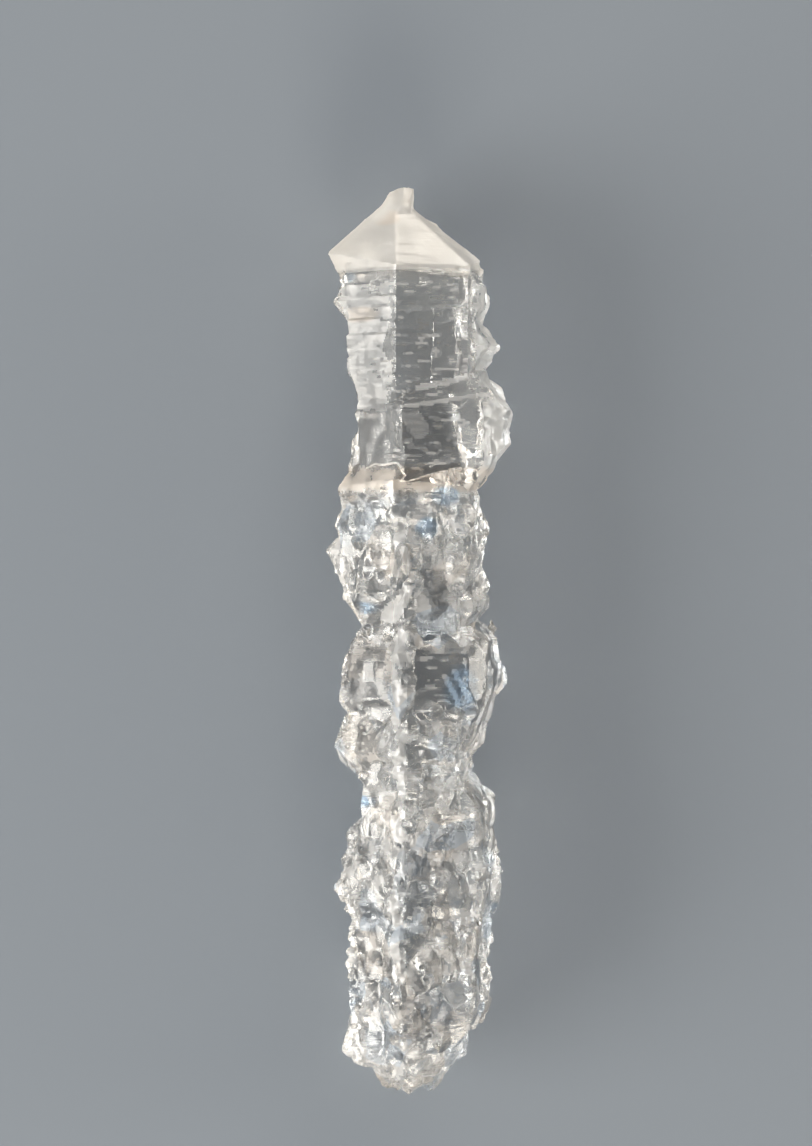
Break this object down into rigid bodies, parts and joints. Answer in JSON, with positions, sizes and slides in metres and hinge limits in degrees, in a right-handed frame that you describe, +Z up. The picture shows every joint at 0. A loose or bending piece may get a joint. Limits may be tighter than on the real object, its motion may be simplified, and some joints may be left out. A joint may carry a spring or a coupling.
{
  "type": "etched quartz crystal",
  "caption": "Clear quartz crystal with a pyramid cap, side lobes and a body etched into ledges and scales, lying on a prism face.",
  "frame": {"origin": "middle of the crystal's box, on the surface that it rests on", "axes": "+Y along the crystal's length towards its pyramid tip, +Z up from the prism face that it rests on, +X across it"},
  "size_m": [0.0128, 0.0608, 0.0099],
  "materials": {
    "clear_quartz": "clear, glossy on the flat faces and finely etched between them"
  },
  "bodies": {
    "root": {"quartz_crystal": "clear_quartz"}
  },
  "joints": []
}
